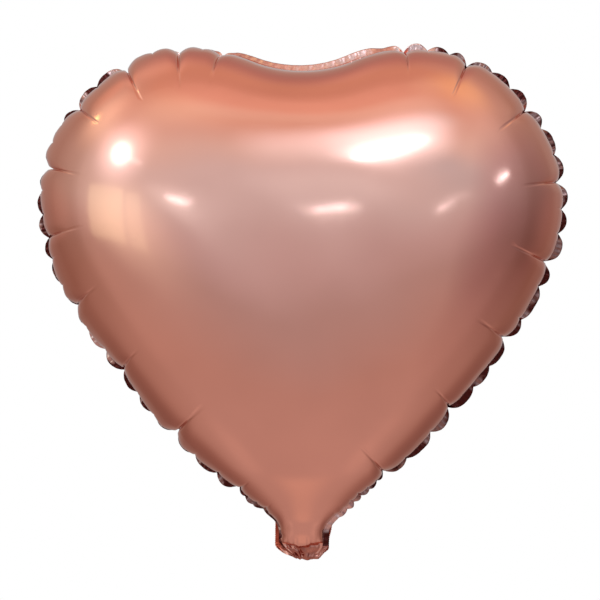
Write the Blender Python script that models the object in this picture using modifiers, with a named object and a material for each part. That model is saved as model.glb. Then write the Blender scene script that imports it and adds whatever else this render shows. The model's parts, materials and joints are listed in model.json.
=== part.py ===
"""Heart-shaped foil balloon, inflated and sealed, with its tail folded up behind it.

Two die-cut foil panels meet at a flat heat-sealed margin. The neck at the point
of the heart holds a flat two-film valve, and below it the filling tail folds on
a line across the neck. Front faces -Y, up is +Z, and the origin is under the
fold, in the plane of the seal. Run it with: blender --background --python part.py
"""

from math import acos, atan2, cos, pi, radians, sin, sqrt

import bmesh
import bpy

# Driving dimensions, in metres and degrees
LOBE_RADIUS = 0.1107  # outline of each of the heart's two lobes
LOBE_X = 0.0715
LOBE_Z = 0.2440
DIP_Z = 0.3409  # bottom of the dip between the lobes
SIDE_RADIUS = 0.4812  # the long, slightly bowed sides down to the neck
SIDE_START = radians(-28.4)  # where a lobe's arc hands over to a side's arc
NECK_HALF_WIDTH = 0.0186
NECK_FILLET = 0.0103
NECK_FOOT = 0.0044  # lower edge of the panels, just above the fold
NECK_TOP = 0.0190  # where the neck starts to open into the dome

HALF_DEPTH = 0.1080  # of the inflated balloon, front or back, before the crown is levelled
CROWN_Z = 0.2250  # top of the level crown
CROWN_FOOT = 0.2050  # bottom of the level crown
CROWN_FLAT = 0.0015  # height shaved off the crown, where the film is level
FOOT_BULGE = 0.0006  # of each panel beyond its margin, at the foot of the neck
NECK_BULGE = 0.0060  # the same at the top of the neck
SHOULDER = 0.45  # share of the depth reached soon after the neck
SHOULDER_POWER = 6
SPINE_LEAN = 0.75  # how far a cross fold climbs on its way to the middle

FOIL = 0.0005  # stand-in thickness of one panel
SEAL_MARGIN = 0.0045
SEAL_THICKNESS = 0.0006
GAP = 0.0003

FOLD_Z = 0.0005
TAIL_LENGTH = 0.0480
TAIL_START = 0.0008
TAIL_LEAN = 43.0  # slope of the folded tail above the horizontal
TAIL_SEAL_WIDTH = 0.0045

VALVE_HALF_WIDTH = 0.0115
VALVE_FOOT = 0.0055
VALVE_LENGTH = 0.0860
VALVE_FILM = 0.0004

# How finely the curves are drawn
DIP_STEPS = 4
LOBE_STEPS = 16
SIDE_STEPS = 12
FILLET_STEPS = 3
NECK_STEPS = 2
DOME_STEPS = 7

# Worked out from the dimensions above
PANEL_FACE = SEAL_THICKNESS / 2 + GAP + FOIL  # outer face of a panel's margin
FOLD_ANGLE = 90.0 + TAIL_LEAN


def arc(centre, radius, start, end, steps):
    """Points (x, z) along an arc, both ends included."""
    angles = [start + (end - start) * i / steps for i in range(steps + 1)]
    return [(centre[0] + radius * cos(a), centre[1] + radius * sin(a)) for a in angles]


def half_outline(inset):
    """The right half of the heart from the dip to the foot of the neck, as tangent arcs.

    inset moves the line inwards by that much; points of equal index face each other.
    """
    rise = DIP_Z - LOBE_Z
    dip_radius = (LOBE_X**2 + rise**2 - LOBE_RADIUS**2) / (2 * (LOBE_RADIUS - rise))
    dip_centre = (0.0, DIP_Z + dip_radius)
    lobe = (LOBE_X, LOBE_Z)
    join = atan2(LOBE_Z - dip_centre[1], LOBE_X)
    reach = SIDE_RADIUS - LOBE_RADIUS
    side = (lobe[0] - reach * cos(SIDE_START), lobe[1] - reach * sin(SIDE_START))
    fillet_x = NECK_HALF_WIDTH + NECK_FILLET
    side_end = -acos((fillet_x - side[0]) / (SIDE_RADIUS + NECK_FILLET))
    fillet = (fillet_x, side[1] + (SIDE_RADIUS + NECK_FILLET) * sin(side_end))

    points = arc(dip_centre, dip_radius + inset, -pi / 2, join, DIP_STEPS)
    points += arc(lobe, LOBE_RADIUS - inset, join + pi, SIDE_START, LOBE_STEPS)[1:]
    points += arc(side, SIDE_RADIUS - inset, SIDE_START, side_end, SIDE_STEPS)[1:]
    points += arc(fillet, NECK_FILLET + inset, side_end + pi, pi, FILLET_STEPS)[1:]
    x = NECK_HALF_WIDTH - inset
    for i in range(1, NECK_STEPS + 1):
        points.append((x, fillet[1] + (NECK_FOOT - fillet[1]) * i / NECK_STEPS))
    return points


def spine_height(x, z):
    """Where the cross fold from a seam point (x, z) meets the middle of the heart."""
    beyond_neck = max(0.0, x - (NECK_HALF_WIDTH - SEAL_MARGIN))
    return min(z + SPINE_LEAN * beyond_neck, CROWN_Z)


def spine_depth(z):
    """Depth of the dome on the middle line: the neck, a quick shoulder, a steady climb."""
    if z < NECK_TOP:
        opened = (z - NECK_FOOT) / (NECK_TOP - NECK_FOOT)
        return FOOT_BULGE + (NECK_BULGE - FOOT_BULGE) * opened
    climb = min(1.0, (z - NECK_TOP) / (CROWN_FOOT - NECK_TOP))
    shoulder = SHOULDER * (1 - (1 - climb) ** SHOULDER_POWER)
    full = HALF_DEPTH - PANEL_FACE - NECK_BULGE
    return NECK_BULGE + full * (shoulder + (1 - SHOULDER) * climb)


def pillow(across):
    """Height of an inflated flat envelope, from 0 at the seam to 1 in the middle."""
    return sqrt(1 - (1 - across) ** 3)


def material(name, colour, roughness, metallic):
    """A plain Principled material."""
    made = bpy.data.materials.new(name)
    made.use_nodes = True
    shader = made.node_tree.nodes["Principled BSDF"]
    shader.inputs["Base Color"].default_value = (*colour, 1.0)
    shader.inputs["Roughness"].default_value = roughness
    shader.inputs["Metallic"].default_value = metallic
    return made


def add_object(name, mesh, finish, collection):
    """Puts a mesh in the scene as a named sub-part."""
    part = bpy.data.objects.new(name, mesh)
    mesh.materials.append(finish)
    collection.objects.link(part)
    return part


def mirror_left(part):
    """Completes a right half that is open at the plane of symmetry."""
    mirror = part.modifiers.new("left_half", "MIRROR")
    mirror.use_clip = True
    mirror.merge_threshold = 0.0001


def thicken(part, thickness, offset):
    """Gives a surface its thickness. An offset of -1 keeps the drawn face outermost."""
    solid = part.modifiers.new("thickness", "SOLIDIFY")
    solid.thickness = thickness
    solid.offset = offset
    solid.use_even_offset = True
    solid.use_quality_normals = True


def strip_mesh(name, rows):
    """A surface through rows of points of equal length, facing -Y."""
    build = bmesh.new()
    grid = [[build.verts.new(point) for point in row] for row in rows]
    for upper, lower in zip(grid, grid[1:]):
        for i in range(len(upper) - 1):
            build.faces.new((upper[i], upper[i + 1], lower[i + 1], lower[i]))
    bmesh.ops.remove_doubles(build, verts=build.verts, dist=1e-6)
    bmesh.ops.recalc_face_normals(build, faces=build.faces)
    if sum(face.normal.y * face.calc_area() for face in build.faces) > 0:
        bmesh.ops.reverse_faces(build, faces=build.faces)
    mesh = bpy.data.meshes.new(name)
    build.to_mesh(mesh)
    build.free()
    return mesh


def panel(name, front, finish, collection):
    """One foil panel: a flat margin, then a dome that runs in to the middle line."""
    edge = half_outline(0.0)
    seam = half_outline(SEAL_MARGIN)
    rows = [[(x, -PANEL_FACE, z) for x, z in edge]]
    for step in range(DOME_STEPS + 1):
        across = (step / DOME_STEPS) ** 2
        row = []
        for x, z in seam:
            middle = spine_height(x, z)
            depth = PANEL_FACE + spine_depth(middle) * pillow(across)
            depth = min(depth, HALF_DEPTH - CROWN_FLAT)
            row.append((x * (1 - across), -depth, z + (middle - z) * across))
        rows.append(row)
    mesh = strip_mesh(name, rows)
    if not front:
        for vertex in mesh.vertices:
            vertex.co.y = -vertex.co.y
        mesh.flip_normals()
    mesh.shade_smooth()
    part = add_object(name, mesh, finish, collection)
    mirror_left(part)
    thicken(part, FOIL, -1.0)
    return part


def seal_band(finish, collection):
    """The fused layer between the two margins, open at the foot of the neck."""
    rows = [[(x, 0.0, z) for x, z in half_outline(inset)] for inset in (0.0, SEAL_MARGIN)]
    part = add_object("heat_seal_band", strip_mesh("heat_seal_band", rows), finish, collection)
    mirror_left(part)
    thicken(part, SEAL_THICKNESS, 0.0)
    return part


def flat_strip(name, size, centre, hinge, finish, collection):
    """A flat strip of film on a hinge empty, in the empty's own axes."""
    mesh = bpy.data.meshes.new(name)
    build = bmesh.new()
    bmesh.ops.create_cube(build, size=1.0)
    bmesh.ops.scale(build, vec=size, verts=build.verts)
    bmesh.ops.translate(build, vec=centre, verts=build.verts)
    build.to_mesh(mesh)
    build.free()
    part = add_object(name, mesh, finish, collection)
    part.parent = hinge
    return part


def hinge_empty(name, location, turn, collection):
    """An empty on a joint's axis, which runs along X."""
    hinge = bpy.data.objects.new(name, None)
    hinge.location = location
    hinge.rotation_euler = (radians(turn), 0.0, 0.0)
    hinge.empty_display_size = 0.02
    collection.objects.link(hinge)
    return hinge


def tail(front_finish, back_finish, seal_finish, collection):
    """The filling tail: drawn hanging straight down, then folded up behind."""
    hinge = hinge_empty("tail_hinge", (0.0, 0.0, FOLD_Z), FOLD_ANGLE, collection)
    width = 2 * NECK_HALF_WIDTH
    middle = -(TAIL_START + TAIL_LENGTH / 2)
    ply = SEAL_THICKNESS / 2 + GAP + FOIL / 2
    size = (width, FOIL, TAIL_LENGTH)
    flat_strip("tail_front_foil", size, (0, -ply, middle), hinge, front_finish, collection)
    flat_strip("tail_back_foil", size, (0, ply, middle), hinge, back_finish, collection)
    seal = (TAIL_SEAL_WIDTH, SEAL_THICKNESS, TAIL_LENGTH)
    offset = NECK_HALF_WIDTH - TAIL_SEAL_WIDTH / 2
    for name, x in (("tail_seal_left", -offset), ("tail_seal_right", offset)):
        flat_strip(name, seal, (x, 0, middle), hinge, seal_finish, collection)


def valve(finish, collection):
    """The two flat films inside the neck, which gas pressure holds together."""
    layer = (GAP + VALVE_FILM) / 2
    size = (2 * VALVE_HALF_WIDTH, VALVE_FILM, VALVE_LENGTH)
    for side, y in (("front", -layer), ("back", layer)):
        hinge = hinge_empty(f"valve_{side}_hinge", (0.0, y, VALVE_FOOT), 0.0, collection)
        centre = (0, 0, VALVE_LENGTH / 2)
        flat_strip(f"valve_{side}_film", size, centre, hinge, finish, collection)


def build_balloon():
    """Clears the scene and builds every sub-part in one collection."""
    for old in list(bpy.data.objects):
        bpy.data.objects.remove(old, do_unlink=True)
    collection = bpy.data.collections.new("heart_foil_balloon")
    bpy.context.scene.collection.children.link(collection)

    rose_gold = material("rose_gold_foil", (0.60, 0.27, 0.20), 0.24, 1.0)
    rose_gold_back = material("rose_gold_back_foil", (0.58, 0.26, 0.19), 0.26, 1.0)
    sealed = material("heat_sealed_margin", (0.42, 0.14, 0.10), 0.16, 1.0)
    tail_foil = material("tail_foil", (0.55, 0.22, 0.16), 0.20, 1.0)
    tail_foil_inner = material("tail_inner_foil", (0.50, 0.20, 0.15), 0.22, 1.0)
    film = material("valve_film", (0.80, 0.81, 0.80), 0.30, 0.0)

    panel("front_foil_panel", True, rose_gold, collection)
    panel("back_foil_panel", False, rose_gold_back, collection)
    seal_band(sealed, collection)
    tail(tail_foil, tail_foil_inner, sealed, collection)
    valve(film, collection)


build_balloon()
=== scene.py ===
"""Looks for the heart-shaped foil balloon: crimped foil panels, glossy sealed edge, folded tail.

Front faces -Y, up is +Z, metres. The CAD frame gives every size; the outline is the
CAD's outline again, as arcs in shares of its width.
"""

import json
from math import acos, atan2, cos, pi, radians, sin, tan

import bmesh
import bpy
import numpy as np
from mathutils import Matrix, Vector
from mathutils.geometry import delaunay_2d_cdt


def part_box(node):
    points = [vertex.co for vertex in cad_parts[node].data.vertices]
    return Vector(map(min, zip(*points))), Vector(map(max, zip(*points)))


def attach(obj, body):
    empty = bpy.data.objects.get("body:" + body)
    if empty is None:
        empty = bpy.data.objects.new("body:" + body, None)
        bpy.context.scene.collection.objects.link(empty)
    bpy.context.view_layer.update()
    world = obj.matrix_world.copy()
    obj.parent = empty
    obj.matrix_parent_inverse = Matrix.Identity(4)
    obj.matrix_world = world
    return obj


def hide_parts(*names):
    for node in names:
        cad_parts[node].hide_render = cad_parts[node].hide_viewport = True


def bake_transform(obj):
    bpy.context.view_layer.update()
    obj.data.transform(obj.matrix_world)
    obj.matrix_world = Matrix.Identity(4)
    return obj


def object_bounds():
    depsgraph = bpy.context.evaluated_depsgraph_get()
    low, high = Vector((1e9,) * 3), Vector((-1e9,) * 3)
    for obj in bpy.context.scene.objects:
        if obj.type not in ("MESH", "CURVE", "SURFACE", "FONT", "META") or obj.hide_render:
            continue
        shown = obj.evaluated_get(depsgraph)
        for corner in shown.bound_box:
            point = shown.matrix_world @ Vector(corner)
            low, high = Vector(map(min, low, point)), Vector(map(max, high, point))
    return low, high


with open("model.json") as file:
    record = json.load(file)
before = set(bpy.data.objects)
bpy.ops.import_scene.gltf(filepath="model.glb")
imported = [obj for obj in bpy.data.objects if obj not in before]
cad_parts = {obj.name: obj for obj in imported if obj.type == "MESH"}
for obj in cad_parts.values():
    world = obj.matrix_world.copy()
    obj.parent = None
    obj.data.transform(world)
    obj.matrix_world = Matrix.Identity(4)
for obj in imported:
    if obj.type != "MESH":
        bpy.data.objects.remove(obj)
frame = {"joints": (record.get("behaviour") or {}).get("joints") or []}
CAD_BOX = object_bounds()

SEAL_LOW, SEAL_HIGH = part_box("heat_seal_band")
WIDTH = SEAL_HIGH.x - SEAL_LOW.x
FOOT = SEAL_LOW.z
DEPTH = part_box("back_foil_panel")[1].y
JOINTS = {joint["name"]: joint for joint in frame["joints"]}

# Outline, in shares of the width
LOBE_RADIUS = 0.3039
LOBE_X = 0.1963
LOBE_Z = 0.6699
DIP_Z = 0.9359
SIDE_RADIUS = 1.3211
SIDE_START = radians(-28.4)
NECK_HALF_WIDTH = 0.05106
NECK_FILLET = 0.02828
OUTLINE_POINTS = 2400

MARGIN = 0.0045  # width of the sealed edge
NECK_INNER = NECK_HALF_WIDTH * WIDTH - MARGIN  # half the neck's width, inside the sealed edge
FOIL = 0.00018  # thickness shown for the film
SEALED = 0.0003  # thickness shown where two films are fused

# Creases from the seam. Places are shares of the way from the dip to the foot of the neck
DEEP_LEFT = (10, 0.10, 0.90, 1.2)  # how many, the first, the last, and how they crowd to the dip
DEEP_RIGHT = (8, 0.13, 0.87, 1.1)
SLIGHT_STEP = 0.033  # rough spacing of all creases, once slight ones are set between the deep ones
SLIGHT_JITTER = 0.15
NECK_CREASE_STEP = 0.0140  # spacing below the last deep crease
NECK_CREASE_END = 0.955
DEEP_STRENGTH = (0.85, 1.1)
DEEP_REACH = (0.056, 0.074)  # metres along the foil from the seam
DEEP_LEAN = 0.05
LOW_FROM = 0.89  # deep creases below this share are shorter
LOW_REACH = 0.040
SLIGHT_STRENGTH = (0.36, 0.58)
SLIGHT_REACH = (0.016, 0.032)
NECK_START = 0.968  # share of the outline where the straight neck starts, near enough

# Mesh of the panels
COLUMN_STEP = 0.0013
NECK_COLUMN_STEP = 0.0006
RING_COUNT = 44
BAND_DEPTH = 0.030  # how far in from the seam the crimped band reaches, seen from the front
BAND_RUN = 0.088  # the same, measured along the foil
CROWN_STEP = 0.0045  # spacing of the mesh inside the band
CROWN_ROW_SHARE = 0.866  # height of a row, as a share of the spacing
CROWN_CLEAR = 0.6  # clearance to the band's last ring, as a share of the spacing
BUNCHING = 0.8  # how strongly the columns crowd at the creases
FEWEST_COLUMNS = 7  # from one crease to the next
FILM_STEP = 0.0015
FILM_SWEEPS = 700
SEAM_POINTS = 700
DOME_POWER = 1.5  # higher is flatter at the crown
SWELL = 0.00016

# Crimps
NOTCH_DEPTH = 0.0042  # how far a full-strength crease pulls the seam in
NOTCH_REACH = 0.0125
GROOVE_DEPTH = 0.0042
GROOVE_LENGTH = 1.25  # times the reach of its crease
GROOVE_WIDTH = 0.0014
OVERHANG = 0.0020  # how far the foil bulges out over the seam between creases
OVERHANG_SHARE = 0.42  # how much more of it the front has on the left, and the back on the right
OVERHANG_AT = 0.011
DIP_TUCK = -0.0012
SEAM_EASE = 0.004  # how far from the seam the foil is free to bulge
SWAY = 0.0015  # how far the seam wanders out of its plane
SWAY_WAVES = (9, 14, 23, 37)
SWAY_REACH = 0.020

# Sealed edge
EDGE_END = 0.9955  # share of the outline where the sealed edge stops, above the fold
EDGE_ROWS = 7
EDGE_STEP = 0.0005
EDGE_TUCK = 0.0006  # how far its inner rim reaches in between the panels
TIP_LEFT = (5, 32)  # degrees that a scallop is tipped, from low to high
TIP_DIP = (50, 66)
TIP_RIGHT = (4, 30)
TIP_CREASE = 60
TIP_CORNER = 42  # more of it at the dip's right end
CORNER_AT = 0.105
CORNER_SPREAD = 0.016
PLEAT_REACH = 0.008  # how far along the seam a crease tips and narrows the edge
RIPPLE_DEPTH = 0.00030
RIPPLE_STEP = 0.0041
KNURL_DEPTH = 0.00022
KNURL_STEP = 0.0024

# Neck and tail
PILLOW_FOOT = 0.0100  # height where the gas-filled part of the neck ends
NECK_GAP = 0.0010  # from the middle plane to each panel, where the neck is flat
VALVE_ROOM = 0.12  # how fast that gap widens upwards, so the valve can open
VALVE_ROOM_FROM = 0.005
VALVE_ROOM_RUN = 0.02
NECK_GAP_END = 0.018  # height where that gap starts to close into the dome
NECK_GAP_EASE = 0.012
FOOT_SAG = 0.0032
NECK_DEPTH_SHARE = 0.76  # the neck's depth, as a share of a round one's, so the tail clears it
NECK_TOP = 0.016
NECK_EASE = 0.050
PINCH_LEFT = 0.22  # width left at the fold, as a share, to each side
PINCH_RIGHT = 0.58
PINCH_REACH_LEFT = 0.0135
PINCH_REACH_RIGHT = 0.0105
PINCH_EASE = 0.7
SHOULDER = 0.12  # extra width of the neck's right shoulder, as a share
SHOULDER_AT = 0.031
SHOULDER_SPREAD = 0.009
PLEAT_DEPTH = 0.0006
PLEAT_STEP = 0.0031
PLEATS_AT = 0.0125
PLEATS_SPREAD = 0.0035
FAN_DEPTH = 0.00016
FAN_AT = 0.026
FAN_SPREAD = 0.011
FOLD_RADIUS = 0.0013
TAIL_LENGTH = 0.0480
LIP_HEIGHT = 0.0145  # how far up the neck the tail's film starts
TAIL_STEP = 0.00045
FOLD_ANGLE = JOINTS["tail_fold"]["range_deg"][1]
FOLD_Z = JOINTS["tail_fold"]["pos_m"][2]
FOLD_TOP = FOLD_Z + 0.0004  # height that counts as path length 0 on the neck's side of the fold
SPREAD_NECK = 0.0023  # from the tail's middle to each layer, up the neck
SPREAD_FOLD = 0.0007
SPREAD_TAIL = 0.00032
FOLD_RISE = 0.0019  # from the fold's hinge line up to the middle of its bend
FACETS = 9
CRUSH_DEEP = 0.0021  # depth of the crushed facets near the fold, and further along
CRUSH_DEEP_ALONG = 0.0011
CRUSH_FINE = 0.0003
CRUSH_FINE_ALONG = 0.0004
CRUSH_REACH = 0.013
BOLD_CREASE_DEPTH = 0.0016
BOLD_CREASE_WIDTH = 0.0026
BOLD_CREASE_AT = (-0.0031, -0.0091)  # a point on it, as (x, path length)
BOLD_CREASE_NORMAL = (0.689, -0.726)
TAIL_RIB_DEPTH = 0.00012
TAIL_RIB_STEP = 0.0019
TAIL_OVERLAP = 0.0004  # how far the tail's sheets reach into its side margins
VALVE_FILM = 0.00008
VALVE_COLUMNS = 36
VALVE_ROWS = 120

# Colours
SATIN = (0.85, 0.39, 0.31)
SATIN_EDGE = (0.87, 0.68, 0.62)
# Sealed edge: a deep copper red darkened further as painted shade, and a pale painted reflection
SEAL_COPPER_PAINTED_SHADE = (0.075, 0.014, 0.012)
SEAL_PAINTED_REFLECTION = (0.78, 0.44, 0.40)
# Tail: the darker colour is painted shade on the lip's front
TAIL_PAINTED_SHADE = (0.24, 0.035, 0.020)
TAIL_LIGHT = (0.66, 0.27, 0.21)
WHITE = (0.55, 0.85, 1.0)  # cool enough to come back white off the rose gold

# Studio
CAMERA_DISTANCE = 1.6
CAMERA_X = -0.0014
CAMERA_Z = 0.1787
VIEW_WIDTH = 0.41244
LIGHT_DISTANCE = 3.0
MIDDLE = Vector((0.0, 0.0, (CAD_BOX[0][2] + CAD_BOX[1][2]) / 2))
FLOOR_Z = -0.35
FLOOR_SIZE = 4.6
# name, azimuth, elevation, width, height, turn, colour, radiance, shape. Angles are in degrees
SOFTBOXES = [
    ("key_softbox", 18, 36.5, 21, 4.5, 32, WHITE, 3.5, "ELLIPSE"),
    ("left_softbox", -63, 31, 8, 8, 0, WHITE, 1.0, "ELLIPSE"),
    ("left_softbox_wing", -53, 29.5, 16, 3, -8, WHITE, 0.6, "ELLIPSE"),
    ("left_window", -67.5, 4, 25, 21, 0, (0.50, 0.80, 0.50), 0.42, "RECTANGLE"),
    ("left_window_side", -48.5, 3, 9, 20, 0, (0.50, 0.80, 0.50), 0.24, "RECTANGLE"),
    ("strip_left", -24, 13.5, 11, 0.9, -8, WHITE, 7.0, "ELLIPSE"),
    ("strip_middle", 3.0, 10, 4, 0.8, -5, WHITE, 9.0, "ELLIPSE"),
    ("strip_right", 35, 10, 6, 0.8, 2, WHITE, 4.0, "ELLIPSE"),
    ("strip_far_right", 71, 18, 12, 1.5, 16, WHITE, 6.0, "ELLIPSE"),
    ("gilt_glint", -107, 39, 5, 3, 0, (1.0, 0.85, 0.3), 3.0, "ELLIPSE"),
]
# Soft bright patches of the room: azimuth, elevation, half width, half height, turn, colour
GLOWS = [
    (20, 44, 29, 22, 25, (0.9, 1.5, 1.9)),
    (17, 37, 19, 8, 30, (1.1, 1.7, 2.0)),
    (-64, 32, 26, 24, 0, (0.8, 1.1, 1.3)),
    (-62, 31, 11, 10, 0, (2.4, 3.4, 3.8)),
    (-55, 2, 40, 24, -8, (0.37, 0.49, 0.42)),
    (-25, 12, 24, 8, -20, (0.22, 0.36, 0.4)),
    (3.0, 10, 7, 2.0, -5, (0.10, 0.18, 0.22)),
    (-48, 62, 28, 20, 0, (0.16, 0.26, 0.22)),
    (40, 66, 24, 14, 0, (0.12, 0.25, 0.27)),
    (-15, 80, 34, 27, 0, (0.16, 0.15, 0.14)),
    (96, 73, 18, 13, 0, (0.10, 0.15, 0.12)),
    (-102, 42, 25, 22, 0, (0.46, 0.52, 0.42)),
    (5, 17, 22, 10, 0, (0.10, 0.18, 0.21)),
    (180, -77, 26, 20, 0, (0.11, 0.08, 0.045)),
    (45, 53, 16, 12, 0, (0.08, 0.28, 0.38)),
    (-12, 68, 22, 12, 0, (0.02, 0.13, 0.15)),
    (-150, 55, 26, 18, 0, (0.16, 0.12, 0.09)),
    (-132, 42, 16, 12, 0, (0.20, 0.09, 0.04)),
    (-115, 2, 28, 16, 0, (0.08, 0.06, 0.05)),
    (122, -4, 30, 18, 0, (0.06, 0.05, 0.04)),
    (-105, -56, 22, 13, 0, (0.06, 0.05, 0.04)),
    (105, -56, 22, 13, 0, (0.06, 0.05, 0.04)),
    (38, 11, 12, 3, 3, (0.2, 0.3, 0.35)),
    (71, 18, 12, 5, 14, (0.4, 0.6, 0.7)),
    (108, 60, 26, 18, 0, (0.28, 0.28, 0.08)),
]
# Dim patches, given as the glows are: the colours are taken away
SHADES = [
    (180, 46, 38, 25, 0, (-0.10, -0.16, -0.11)),
    (33, 28, 16, 9, 10, (-0.08, -0.04, 0.0)),
    (42, 21, 22, 15, 0, (-0.09, -0.06, -0.03)),
    (150, -30, 28, 22, 0, (-0.11, -0.12, -0.11)),
    (-150, -32, 28, 24, 0, (-0.13, -0.14, -0.13)),
]
# The room's colour by height, from straight down (0) to straight up (1)
ROOM_BY_HEIGHT = [
    (0.00, (0.59, 0.50, 0.46)),
    (0.20, (0.55, 0.48, 0.45)),
    (0.42, (0.51, 0.53, 0.55)),
    (0.50, (0.61, 0.69, 0.76)),
    (0.58, (0.70, 0.90, 1.00)),
    (0.70, (0.78, 1.00, 1.10)),
    (0.80, (0.86, 0.98, 0.98)),
    (0.90, (0.86, 0.78, 0.70)),
    (0.96, (0.82, 0.61, 0.48)),
    (1.00, (0.76, 0.54, 0.43)),
]
# What it is multiplied by, from in front (0) to behind (1), and from the left (0) to the right (1)
ROOM_BEHIND = [
    (0.0, (1.0, 1.0, 1.0)),
    (0.44, (0.95, 0.90, 0.86)),
    (0.58, (0.70, 0.60, 0.54)),
    (0.80, (0.58, 0.44, 0.38)),
    (0.92, (0.68, 0.57, 0.52)),
    (1.0, (0.82, 0.76, 0.73)),
]
ROOM_SIDEWAYS = [
    (0.0, (1.12, 1.08, 1.02)),
    (0.35, (1.0, 1.0, 1.0)),
    (0.84, (1.0, 1.0, 1.0)),
    (0.94, (0.74, 0.64, 0.68)),
    (1.0, (0.55, 0.46, 0.48)),
]


def smooth(x):
    """0 below 0, 1 above 1, and an even rise between."""
    x = np.clip(x, 0.0, 1.0)
    return x * x * (3 - 2 * x)


def mix(a, b, t):
    """a at t = 0, b at t = 1."""
    return a + (b - a) * t


def arc(centre, radius, start, end, steps=400):
    """Points along an arc, as rows of (x, z)."""
    angle = np.linspace(start, end, steps)
    return np.stack([centre[0] + radius * np.cos(angle), centre[1] + radius * np.sin(angle)], axis=1)


def half_outline():
    """The right half from the dip to the foot of the neck, evenly spaced, and its inward normals."""
    rise = DIP_Z - LOBE_Z
    dip_radius = (LOBE_X**2 + rise**2 - LOBE_RADIUS**2) / (2 * (LOBE_RADIUS - rise))
    dip_centre = (0.0, DIP_Z + dip_radius)
    join = atan2(LOBE_Z - dip_centre[1], LOBE_X)
    reach = SIDE_RADIUS - LOBE_RADIUS
    side = (LOBE_X - reach * cos(SIDE_START), LOBE_Z - reach * sin(SIDE_START))
    fillet_x = NECK_HALF_WIDTH + NECK_FILLET
    side_end = -acos((fillet_x - side[0]) / (SIDE_RADIUS + NECK_FILLET))
    fillet = (fillet_x, side[1] + (SIDE_RADIUS + NECK_FILLET) * sin(side_end))
    pieces = [
        arc(dip_centre, dip_radius, -pi / 2, join),
        arc((LOBE_X, LOBE_Z), LOBE_RADIUS, join + pi, SIDE_START),
        arc(side, SIDE_RADIUS, SIDE_START, side_end),
        arc(fillet, NECK_FILLET, side_end + pi, pi),
        np.array([(NECK_HALF_WIDTH, fillet[1]), (NECK_HALF_WIDTH, FOOT / WIDTH)]),
    ]
    dense = np.concatenate(pieces) * WIDTH
    gap = np.hypot(*np.diff(dense, axis=0).T)
    dense = dense[np.concatenate([[True], gap > 1e-9])]
    run = np.concatenate([[0.0], np.cumsum(np.hypot(*np.diff(dense, axis=0).T))])
    even = np.linspace(0.0, run[-1], OUTLINE_POINTS)
    line = np.stack([np.interp(even, run, dense[:, 0]), np.interp(even, run, dense[:, 1])], axis=1)
    along = np.gradient(line, axis=0)
    along /= np.hypot(*along.T)[:, None]
    return line, np.stack([along[:, 1], -along[:, 0]], axis=1), run[-1]


LINE, NORMAL, HALF_LENGTH = half_outline()
SHARE = np.linspace(0.0, 1.0, OUTLINE_POINTS)


def on_outline(a, inset):
    """Plan points (x, z) at outline shares a, from -1 (left foot) past 0 (dip) to 1 (right foot)."""
    f, hand = np.abs(a), np.where(a < 0, -1.0, 1.0)
    x = np.interp(f, SHARE, LINE[:, 0]) + inset * np.interp(f, SHARE, NORMAL[:, 0])
    z = np.interp(f, SHARE, LINE[:, 1]) + inset * np.interp(f, SHARE, NORMAL[:, 1])
    return x * hand, z


def outward(a):
    """Unit vectors (x, 0, z) out of the heart at outline shares a."""
    f, hand = np.abs(a), np.where(a < 0, -1.0, 1.0)
    x = -np.interp(f, SHARE, NORMAL[:, 0]) * hand
    z = -np.interp(f, SHARE, NORMAL[:, 1])
    return np.stack([x, np.zeros_like(x), z], axis=-1)


def pinch(x, distance):
    """Draws x in where the neck is gathered, by distance from the fold."""
    narrow = np.where(x < 0, PINCH_LEFT, PINCH_RIGHT)
    reach = np.where(x < 0, PINCH_REACH_LEFT, PINCH_REACH_RIGHT)
    near_shoulder = np.exp(-(((distance - SHOULDER_AT) / SHOULDER_SPREAD) ** 2))
    shoulder = SHOULDER * smooth(x / 0.004) * near_shoulder
    return x * mix(narrow, 1.0, smooth(distance / reach) ** PINCH_EASE) * (1 + shoulder)


# The inflated surface -------------------------------------------------------


def inside_loop(loop, x, z):
    """Which points (x, z) lie inside a closed loop of (x, z) rows, by the edges to the right of each."""
    found = np.zeros(x.shape, bool)
    for i in range(len(loop)):
        (x0, z0), (x1, z1) = loop[i - 1], loop[i]
        if z1 != z0:
            crosses = (z0 > z) != (z1 > z)
            found ^= crosses & (x < x0 + (z - z0) * (x1 - x0) / (z1 - z0))
    return found


def inside_seam(x, z):
    """Which points (x, z) lie inside the seam and above the flat foot of the neck."""
    seam = np.stack(on_outline(np.linspace(-1.0, 1.0, SEAM_POINTS), MARGIN), axis=1)
    foot = PILLOW_FOOT + FOOT_SAG * np.minimum(np.abs(x) / NECK_INNER, 1) ** 2
    return inside_loop(seam, x, z) & (z > foot)


def soap_film():
    """A film held at the seam and blown up by a little pressure, on a square grid."""
    xs = np.arange(-WIDTH / 2 - 2 * FILM_STEP, WIDTH / 2 + 3 * FILM_STEP, FILM_STEP)
    zs = np.arange(FOOT - 2 * FILM_STEP, SEAL_HIGH.z + 3 * FILM_STEP, FILM_STEP)
    x, z = np.meshgrid(xs, zs)
    film = np.zeros(x.size)
    row = len(xs)
    cells = np.flatnonzero(inside_seam(x, z))
    parity = (cells // row + cells % row) % 2
    halves = [cells[parity == 0], cells[parity == 1]]
    lift = FILM_STEP**2
    overshoot = 2 / (1 + sin(pi * FILM_STEP / WIDTH * 1.3))
    for _ in range(FILM_SWEEPS):
        for c in halves:
            around = film[c - 1] + film[c + 1] + film[c - row] + film[c + row]
            film[c] += overshoot * ((around + lift) / 4 - film[c])
    return xs, zs, film.reshape(x.shape)


FILM_X, FILM_Z, FILM = soap_film()
FILM_TOP = FILM.max()


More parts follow.
